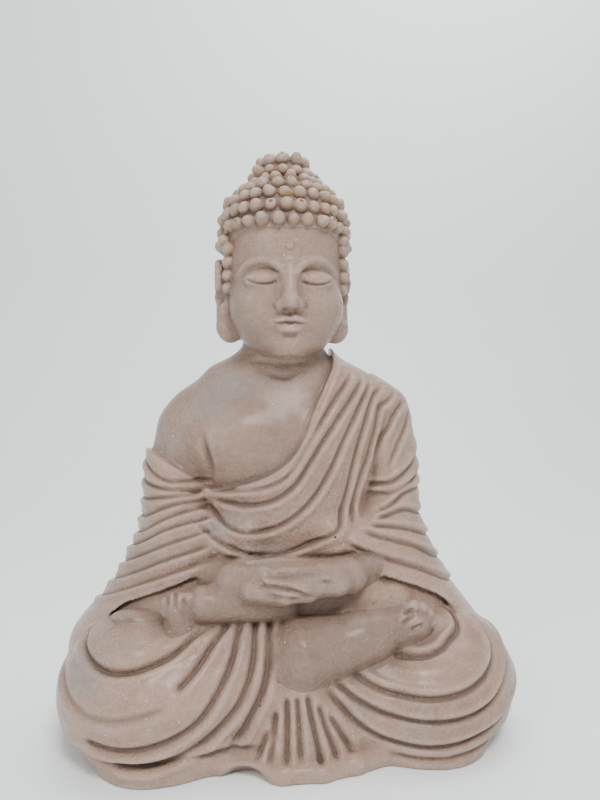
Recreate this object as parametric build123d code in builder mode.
"""A seated, meditating figure: a hollow casting, 400 mm tall, built up from separate pieces.

Millimetres, +Z up. The figure faces -Y, so its own right hand is on the -X side.
The origin is the middle of the flat underside.
"""

import os
from math import asin, cos, hypot, pi, sin, sqrt

from build123d import *

RIGHT, LEFT = -1, 1  # the figure's own sides

# Lap: the robe over the crossed legs, as one plan outline scaled with height
LAP_OUTLINE = [  # its +X half, from the front to the back
    (0, -95), (42, -91), (80, -96), (112, -90), (138, -69), (149.5, -30), (139, 14), (108, 58), (60, 90), (0, 100),
]
LAP_SECTIONS = [(0, 0.90), (10, 0.955), (26, 1.0), (42, 0.985), (54, 0.905), (62, 0.75), (66, 0.47)]
SEAT_FRONT = 34.0  # y where the seat takes over from the knees

# Pleats hanging between the knees
FAN_TOP, FAN_TOP_HALF, FAN_BOTTOM_HALF = 52.0, 13.0, 50.0
FAN_BACK = -62.0
FAN_Y, FAN_HALF_WIDTH, FAN_HALF_DEPTH = -52.0, 70.0, 47.7
PLEATS = 9
PLEAT_RADIUS = 2.4
PLEAT_FOOT, PLEAT_HEAD_Y = 10.0, -89.0

# Underside
PLATE_THICKNESS = 6.0
PLATE_SCALE = 0.80  # of the lap outline
VENT_RADIUS, VENT_Y = 6.0, 40.0
BUNG_FLANGE, BUNG_FLANGE_RADIUS, BUNG_LENGTH = 1.6, 8.8, 10.0
BUNG_RECESS = 0.3  # how far the bung stays above the surface the figure rests on

# Solids lofted through ellipses: (height, centre x, centre y, half width, half depth)
TORSO = [
    (58, 0, 30, 78, 55), (90, 0, 28, 67, 49), (120, 0, 25, 62, 47), (150, 0, 23, 66, 47),
    (180, 0, 24, 74, 46), (203, 0, 27, 80, 41), (218, 0, 28, 71, 35), (230, 0, 28, 53, 31),
    (240, 0, 26, 37, 29), (256, 0, 25, 30, 28), (272, 0, 24, 28, 27),
]
MANTLE = [
    (96, 0, 26, 71, 57), (108, 0, 25, 69, 56), (122, 0, 24, 69, 55), (150, 0, 24, 73, 55),
    (180, 0, 25, 81, 53), (203, 0, 27, 87, 48), (218, 0, 28, 78, 42), (231, 0, 28, 59, 38),
    (242, 0, 27, 42, 34), (250, 0, 26, 36, 32),
]
WAIST = [(88, 0, 25, 66, 54), (104, 0, 24, 65, 56), (118, 0, 24, 64, 54)]
SLEEVE = [
    (50, 106, -6, 42, 58), (62, 104, -5, 43, 58), (80, 97, 0, 38, 53), (100, 90, 6, 31, 47),
    (125, 85, 13, 27, 39), (150, 83, 20, 25, 34), (178, 81, 25, 24, 30),
]
LEFT_SHOULDER = [(200, 76, 28, 26, 29), (216, 68, 29, 23, 25), (226, 60, 29, 15, 17)]
HEAD = [
    (246, 0, -7, 13, 11), (254, 0, 0, 27, 24), (266, 0, 8, 35, 34), (284, 0, 14, 40, 43),
    (305, 0, 18, 42, 46), (325, 0, 21, 41.5, 45), (345, 0, 23, 37, 41.5), (361, 0, 24, 25, 28),
    (368, 0, 24, 13, 15),
]
EAR = [
    (256, 43.5, 19, 4, 6), (262, 45.5, 19, 6, 9), (272, 45.5, 20, 4.5, 8), (287, 44.5, 21, 4, 8.5),
    (302, 46.5, 22, 4.5, 11.5), (311, 47, 23, 4, 10), (316, 46, 23, 2.5, 6),
]

# The hollow: its part in the lap as (height, share of the lap outline), then ellipses up the trunk
CAVITY_LAP = [(6, 0.80), (22, 0.90), (38, 0.885), (50, 0.78), (57, 0.55)]
CAVITY_TRUNK = [
    (40, 0, 28, 56, 40), (80, 0, 28, 50, 36), (120, 0, 25, 47, 34), (150, 0, 24, 49, 34),
    (180, 0, 26, 50, 31), (200, 0, 28, 42, 24), (210, 0, 28, 24, 14),
]

# Bars with rounded ends: (start, end, start radius, end radius)
RIGHT_ARM = ((-72, 28, 192), (-87, 14, 122), 25, 21)
NOSE = ((0, -27, 302), (0, -31, 284), 3.5, 5.5)
LIPS = [((-9, -27, 266), (9, -27, 266), 3.2, 3.2), ((-6, -25, 261), (6, -25, 261), 3.6, 3.6)]
RIGHT_SHIN = ((0, -75, 60), (46, -72, 70), 22, 13)
RIGHT_SOLE = ((40, -72, 69), (76, -64, 74), 14, 9)
LEFT_SOLE = ((-12, -57, 87), (-56, -60, 89), 11, 12)

# Ellipsoids: centre, half sizes
EYELID = ((16, -23, 297), (10, 5, 4.5))
RIGHT_TOES = ((78, -64, 77), (10, 12, 11))
LEFT_HEEL = ((-71, -61, 85), (12, 14, 14))
URNA_CENTRE, URNA_RADIUS = (0, -28.5, 317), 3.2
SKULL_CENTRE, SKULL_SIZE = (0.0, 22.0, 316.0), (45.5, 49.0, 64.0)
KNOT_CENTRE, KNOT_SIZE = (0.0, 24.0, 372.9), (17.5, 18.5, 20.5)

# Hair
HAIRLINE, TEMPLE, NAPE = 331.0, 306.0, 268.0  # heights where the hair stops
FACE_HALF_WIDTH = 37.0
TEMPLE_FRONT, EAR_BACK, EAR_TOP = 6.0, 36.0, 316.0  # y beside the face and behind the ear, height over it
CURL_RADIUS = 4.6
CURL_PITCH = 10.0
CURL_HEIGHT = 6.5  # how far a curl stands off the scalp
ROW_STEP = 0.93 * CURL_PITCH
FIRST_ROW, LAST_ROW = NAPE + 6, 372.0
KNOT_FIRST_ROW, KNOT_LAST_ROW = 381.0, 391.0

# Neck rod
ROD_RADIUS, ROD_BOTTOM, ROD_TOP, ROD_Y = 4.0, 216.0, 290.0, 25.0
GLUE_LINE = 0.1

# Edges of the robe in front view, as (x, z)
NECKLINE = [(34, 262), (33, 243), (27, 218), (14, 190), (-8, 168), (-34, 157), (-60, 153)]
SLEEVE_HEM = [(30, 114), (48, 108), (84, 95), (118, 86), (136, 74), (153, 54)]
CUFF = ((78, 0, 108), (46, -38, 106), 24, 15)  # the sleeve round a forearm, as a bar

# Hands, palm up one on the other: palm centre, knuckle x, finger length, y of the first finger
PALM_SIZE = (23, 17, 8.5)
RIGHT_HAND = ((24, -60, 95), 10, 36, -77)
LEFT_HAND = ((24, -56, 102), 12, 34, -70)
FINGER_PITCH, FINGER_RADIUS, FINGERTIP_RADIUS = 7.6, 4.6, 3.7
OUTER_FINGER_SHORTER = 6


def ellipse_stack(sections, side=LEFT):
    """A smooth solid through ellipses of (height, centre x, centre y, half width, half depth)."""
    with BuildPart() as lofted:
        for height, x, y, half_width, half_depth in sections:
            with BuildSketch(Plane.XY.offset(height)):
                with Locations((side * x, y)):
                    Ellipse(half_width, half_depth)
        loft()
    return lofted.part


def ellipsoid(centre, size):
    """An ellipsoid from its centre and its three half sizes."""
    with BuildPart() as ball:
        Sphere(1)
        scale(by=tuple(size))
    return Pos(*centre) * ball.part


def limb(start, end, start_radius, end_radius):
    """A tapered round bar with rounded ends, from start to end."""
    along = Vector(*end) - Vector(*start)
    lean = asin((start_radius - end_radius) / along.length)
    shoulder = (start_radius * sin(lean), start_radius * cos(lean))
    wrist = (along.length + end_radius * sin(lean), end_radius * cos(lean))
    start_mid = (pi + pi / 2 - lean) / 2
    end_mid = (pi / 2 - lean) / 2
    start_arc = (start_radius * cos(start_mid), start_radius * sin(start_mid))
    end_arc = (along.length + end_radius * cos(end_mid), end_radius * sin(end_mid))
    across = Vector(0, 0, 1) if abs(along.Z) < 0.8 * along.length else Vector(0, 1, 0)
    with BuildPart() as bar:
        with BuildSketch(Plane(origin=start, x_dir=along, z_dir=along.cross(across))):
            with BuildLine():
                ThreePointArc((-start_radius, 0), start_arc, shoulder)
                Line(shoulder, wrist)
                ThreePointArc(wrist, end_arc, (along.length + end_radius, 0))
                Line((along.length + end_radius, 0), (-start_radius, 0))
            make_face()
        revolve(axis=Axis(start, tuple(along)))
    return bar.part


def front_prism(points, y_front, y_back):
    """A prism along Y on a polygon of (x, z) points."""
    with BuildPart() as prism:
        with BuildSketch(Plane.XZ.offset(-y_back)):
            with BuildLine():
                Polyline(*points, close=True)
            make_face()
        extrude(amount=y_back - y_front)
    return prism.part


def block(x_low, x_high, y_low, y_high, z_low, z_high):
    """A box between two corners."""
    low, high = (x_low, y_low, z_low), (x_high, y_high, z_high)
    middle = [(a + b) / 2 for a, b in zip(low, high)]
    with BuildPart() as box:
        with Locations(tuple(middle)):
            Box(*[b - a for a, b in zip(low, high)])
    return box.part


def lap_loft(sections):
    """The lap's plan outline, lofted through (height, scale) sections."""
    outline = LAP_OUTLINE + [(-x, y) for x, y in LAP_OUTLINE[-2:0:-1]]
    with BuildPart() as lap:
        for height, share in sections:
            with BuildSketch(Plane.XY.offset(height)):
                with BuildLine():
                    Spline(*[(x * share, y * share) for x, y in outline], periodic=True)
                make_face()
        loft()
    return lap.part


def make_cavity():
    """The hollow inside the casting, open at the underside."""
    with BuildPart() as cavity:
        add(lap_loft([(0, PLATE_SCALE), (PLATE_THICKNESS, PLATE_SCALE)]))
        add(lap_loft(CAVITY_LAP))
        add(ellipse_stack(CAVITY_TRUNK))
    return cavity.part


def make_neck_bar(radius):
    """The rod that joins head and neck, or with a larger radius its drilling."""
    with BuildPart() as bar:
        with Locations((0, ROD_Y, ROD_BOTTOM)):
            Cylinder(radius, ROD_TOP - ROD_BOTTOM, align=(Align.CENTER, Align.CENTER, Align.MIN))
    return bar.part


def piece(name, raw, *cuts):
    """A raw solid with its neighbours cut away, labelled and written to its own file."""
    with BuildPart() as made:
        add(raw)
        for cut in cuts:
            add(cut, mode=Mode.SUBTRACT)
    made.part.label = name
    export_step(made.part, f"parts/{name}.step")
    return made.part


def make_torso():
    """Bare chest, neck, right shoulder and right upper arm, without the hollow."""
    with BuildPart() as torso:
        add(ellipse_stack(TORSO))
        add(limb(*RIGHT_ARM))
    return torso.part


def make_head():
    """Skull and face: closed lids, nose and lips."""
    (lid_x, lid_y, lid_z), lid_size = EYELID
    with BuildPart() as head:
        add(ellipse_stack(HEAD))
        add(limb(*NOSE))
        for lip in LIPS:
            add(limb(*lip))
        for side in (RIGHT, LEFT):
            add(ellipsoid((side * lid_x, lid_y, lid_z), lid_size))
    return head.part


def make_hair_cap():
    """The scalp under the curls, open at the face, the ears and the nape."""
    far = 2 * SKULL_SIZE[1]
    with BuildPart() as cap:
        add(ellipsoid(SKULL_CENTRE, SKULL_SIZE))
        add(block(-FACE_HALF_WIDTH, FACE_HALF_WIDTH, -far, TEMPLE_FRONT, 0, HAIRLINE), mode=Mode.SUBTRACT)
        add(block(-far, far, -far, EAR_BACK, 0, TEMPLE), mode=Mode.SUBTRACT)
        add(block(-far, far, -far, 2 * far, 0, NAPE), mode=Mode.SUBTRACT)
    return cap.part


def make_curl():
    """One domed curl, standing on the plane z = 0."""
    with BuildPart() as curl:
        with Locations((0, 0, CURL_HEIGHT - CURL_RADIUS)):
            Sphere(CURL_RADIUS)
        split(bisect_by=Plane.XY, keep=Keep.TOP)
    return curl.part


def on_ellipsoid(centre, size, height, turn):
    """The plane a glue line off an ellipsoid, at a height and a turn about its upright axis."""
    rise = (height - centre[2]) / size[2]
    ring = sqrt(1 - rise * rise)
    outward = (ring * cos(turn), ring * sin(turn), rise)
    point = [c + s * o for c, s, o in zip(centre, size, outward)]
    normal = [o / s for s, o in zip(size, outward)]
    return Plane(origin=point, z_dir=normal).offset(GLUE_LINE)


def row_heights(centre, size, low, high):
    """Heights of rows spaced evenly along the ellipsoid's side, from low up to high."""
    heights, height = [], low
    while height < high:
        heights.append(height)
        rise = (height - centre[2]) / size[2]
        ring = sqrt(1 - rise * rise)
        slope = hypot(rise * size[0], ring * size[2])
        height += ROW_STEP * ring * size[2] / slope
    return heights


def has_hair(plane):
    """Whether a curl at this place stands on the scalp, clear of face, ears and nape."""
    x, y, z = plane.origin
    reach = CURL_RADIUS / 2
    over_face = abs(x) < FACE_HALF_WIDTH + reach and y < TEMPLE_FRONT and z < HAIRLINE + reach
    over_cheek = y < EAR_BACK + reach and z < TEMPLE + reach
    beside_ear = TEMPLE_FRONT - CURL_RADIUS < y < EAR_BACK and z < EAR_TOP + CURL_RADIUS
    return not (over_face or over_cheek or beside_ear) and z > NAPE + reach


def curl_row(centre, size, height, index):
    """The planes of one ring of curls, each ring turned half a pitch from the last."""
    rise = (height - centre[2]) / size[2]
    around = pi * (size[0] + size[1]) * sqrt(1 - rise * rise)
    count = int(around / CURL_PITCH)
    turns = [2 * pi * (k + 0.5 * (index % 2)) / count - pi / 2 for k in range(count)]
    return [p for p in (on_ellipsoid(centre, size, height, turn) for turn in turns) if has_hair(p)]


def make_curls(planes):
    """A group of separate curls."""
    curl = make_curl()
    with BuildPart() as row:
        with Locations(*planes):
            add(curl)
    return row.part


def make_knee(side, lap, fan):
    """Half of the robe over the crossed legs, beside the pleats."""
    far = side * 200
    with BuildPart() as knee:
        add(lap)
        add(block(min(0, far), max(0, far), -200, SEAT_FRONT, -1, 100), mode=Mode.INTERSECT)
        add(fan, mode=Mode.SUBTRACT)
    return knee.part


def make_seat(lap):
    """The robe over the seat, behind the knees."""
    with BuildPart() as seat:
        add(lap)
        add(block(-200, 200, SEAT_FRONT, 200, -1, 100), mode=Mode.INTERSECT)
    return seat.part


def make_fan_blank():
    """The wedge that hangs between the knees, before it is pleated."""
    wedge = [
        (-FAN_BOTTOM_HALF, 0), (FAN_BOTTOM_HALF, 0), (FAN_TOP_HALF, FAN_TOP), (-FAN_TOP_HALF, FAN_TOP),
    ]
    shares = [(0, 1.0), (14, 0.98), (34, 0.90), (FAN_TOP, 0.78)]  # of the half width and half depth
    rings = [(z, 0, FAN_Y, FAN_HALF_WIDTH * share, FAN_HALF_DEPTH * share) for z, share in shares]
    with BuildPart() as fan:
        add(ellipse_stack(rings))
        add(front_prism(wedge, -140, FAN_BACK), mode=Mode.INTERSECT)
    return fan.part


def make_fan(blank):
    """The fan of pleats, with round flutes down its front."""
    with BuildPart() as fan:
        add(blank)
        for k in range(1, PLEATS):
            share = 2 * k / PLEATS - 1
            foot_x = share * FAN_BOTTOM_HALF
            foot_y = FAN_Y - FAN_HALF_DEPTH * sqrt(1 - (foot_x / FAN_HALF_WIDTH) ** 2)
            head = (share * FAN_TOP_HALF, PLEAT_HEAD_Y, FAN_TOP + 2 * PLEAT_RADIUS)
            flute = limb((foot_x, foot_y, PLEAT_FOOT), head, PLEAT_RADIUS, PLEAT_RADIUS / 2)
            add(flute, mode=Mode.SUBTRACT)
    return fan.part


def make_mantle():
    """The robe across the chest, over the left shoulder and down the back."""
    low, high = NECKLINE[-1], NECKLINE[0]
    bare = NECKLINE + [(-200, low[1]), (-200, high[1])]
    with BuildPart() as mantle:
        add(ellipse_stack(MANTLE))
        add(front_prism(bare, -60, 140), mode=Mode.SUBTRACT)
    return mantle.part


def make_sleeve(side):
    """A sleeve: from the arm down over the wrist, its hem falling away to the knee."""
    (arm_x, arm_y, arm_z), (cuff_x, cuff_y, cuff_z), arm_radius, cuff_radius = CUFF
    cuff = limb((side * arm_x, arm_y, arm_z), (side * cuff_x, cuff_y, cuff_z), arm_radius, cuff_radius)
    hem = [(side * x, z) for x, z in SLEEVE_HEM]
    inner, outer = side * 20, side * 200
    below = [(inner, 0), (inner, hem[0][1])] + hem + [(outer, 40), (outer, 0)]
    with BuildPart() as sleeve:
        add(ellipse_stack(SLEEVE + LEFT_SHOULDER if side == LEFT else SLEEVE, side))
        add(cuff)
        add(front_prism(below, -120, 0), mode=Mode.SUBTRACT)
    return sleeve.part


def make_waist_band():
    """The band of the under-robe across the belly."""
    with BuildPart() as band:
        add(ellipse_stack(WAIST))
        add(block(-46, 46, -80, 10, 80, 120), mode=Mode.INTERSECT)
    return band.part


def make_hand(side, palm, knuckle_x, reach, first_y):
    """A hand lying palm up across the lap: wrist, palm, four fingers side by side and a thumb."""
    px, py, pz = palm
    with BuildPart() as hand:
        add(ellipsoid((side * px, py, pz), PALM_SIZE))
        add(limb((side * (px + 8), py + 2, pz + 1), (side * 60, -34, pz + 5), 8, 11))
        for finger in range(4):
            y = first_y + FINGER_PITCH * finger
            length = reach - (OUTER_FINGER_SHORTER if finger in (0, 3) else 0)
            start, end = (side * knuckle_x, y, pz - 1), (side * (knuckle_x - length), y + 3, pz - 1)
            add(limb(start, end, FINGER_RADIUS, FINGERTIP_RADIUS))
        add(limb((side * (px + 4), py + 11, pz + 8), (side * 4, py + 6, pz + 12), 5.5, 3.8))
    return hand.part


def make_right_foot():
    """The right shin and foot, lying sole up on the left thigh."""
    with BuildPart() as foot:
        add(limb(*RIGHT_SHIN))
        add(limb(*RIGHT_SOLE))
        add(ellipsoid(*RIGHT_TOES))
    return foot.part


def make_left_foot():
    """The left shin and foot, lying sole up on the right thigh."""
    with BuildPart() as foot:
        add(limb(*LEFT_SOLE))
        add(ellipsoid(*LEFT_HEEL))
    return foot.part


def make_base_plate():
    """The plate that closes the underside, with a stepped vent hole."""
    with BuildPart() as plate:
        add(lap_loft([(0, PLATE_SCALE), (PLATE_THICKNESS, PLATE_SCALE)]))
        with Locations((0, VENT_Y, 0)):
            Cylinder(VENT_RADIUS, 3 * PLATE_THICKNESS, mode=Mode.SUBTRACT)
            Cylinder(BUNG_FLANGE_RADIUS + 2 * GLUE_LINE, 2 * BUNG_FLANGE, mode=Mode.SUBTRACT)
    return plate.part


def make_vent_bung():
    """The soft bung in the vent hole."""
    upright = (Align.CENTER, Align.CENTER, Align.MIN)
    with BuildPart() as bung:
        with Locations((0, VENT_Y, BUNG_RECESS)):
            Cylinder(VENT_RADIUS - GLUE_LINE, BUNG_LENGTH, align=upright)
            Cylinder(BUNG_FLANGE_RADIUS, BUNG_FLANGE - BUNG_RECESS, align=upright)
    return bung.part


def write_hair():
    """Every row of curls on the skull and on the crown knot, and the one on its summit."""
    for index, height in enumerate(row_heights(SKULL_CENTRE, SKULL_SIZE, FIRST_ROW, LAST_ROW)):
        planes = curl_row(SKULL_CENTRE, SKULL_SIZE, height, index)
        piece(f"hair_curls_row_{index + 1:02d}", make_curls(planes))
    for index, height in enumerate(row_heights(KNOT_CENTRE, KNOT_SIZE, KNOT_FIRST_ROW, KNOT_LAST_ROW)):
        planes = curl_row(KNOT_CENTRE, KNOT_SIZE, height, index)
        piece(f"knot_curls_row_{index + 1:02d}", make_curls(planes))
    x, y, z = KNOT_CENTRE
    piece("summit_curl", make_curls([Plane(origin=(x, y, z + KNOT_SIZE[2] + GLUE_LINE))]))


def make_statue():
    """Every piece, each cut to meet its neighbours face to face."""
    cavity, rod_hole = make_cavity(), make_neck_bar(ROD_RADIUS + GLUE_LINE)
    lap, fan, torso, head = lap_loft(LAP_SECTIONS), make_fan_blank(), make_torso(), make_head()
    piece("base_plate", make_base_plate())
    piece("vent_bung", make_vent_bung())
    piece("neck_rod", make_neck_bar(ROD_RADIUS))
    piece("front_pleats", make_fan(fan), cavity)
    piece("seat_drape", make_seat(lap), cavity)
    piece("right_knee_drape", make_knee(RIGHT, lap, fan), cavity)
    piece("left_knee_drape", make_knee(LEFT, lap, fan), cavity)
    piece("torso", torso, lap, head, cavity, rod_hole)
    piece("head", head, rod_hole)

    cap = piece("hair_cap", make_hair_cap(), head, torso)
    piece("crown_knot", ellipsoid(KNOT_CENTRE, KNOT_SIZE), ellipsoid(SKULL_CENTRE, SKULL_SIZE), head)
    piece("forehead_dot", ellipsoid(URNA_CENTRE, [URNA_RADIUS] * 3), head)
    piece("right_ear", ellipse_stack(EAR, RIGHT), head, cap)
    piece("left_ear", ellipse_stack(EAR, LEFT), head, cap)
    write_hair()

    right_foot, left_foot = make_right_foot(), make_left_foot()
    right_hand, left_hand = make_hand(RIGHT, *RIGHT_HAND), make_hand(LEFT, *LEFT_HAND)
    piece("right_foot", right_foot, lap, fan, torso)
    piece("left_foot", left_foot, lap, right_foot, torso)
    piece("right_hand", right_hand, torso, right_foot, left_foot)
    piece("left_hand", left_hand, torso, right_hand, right_foot, left_foot)

    limbs = [right_hand, left_hand, right_foot, left_foot]
    band, mantle = make_waist_band(), make_mantle()
    piece("waist_band", band, torso, *limbs)
    piece("robe_mantle", mantle, torso, band, lap)
    piece("right_sleeve", make_sleeve(RIGHT), torso, mantle, band, lap, *limbs)
    piece("left_sleeve", make_sleeve(LEFT), torso, mantle, band, lap, *limbs)


os.makedirs("parts", exist_ok=True)
make_statue()
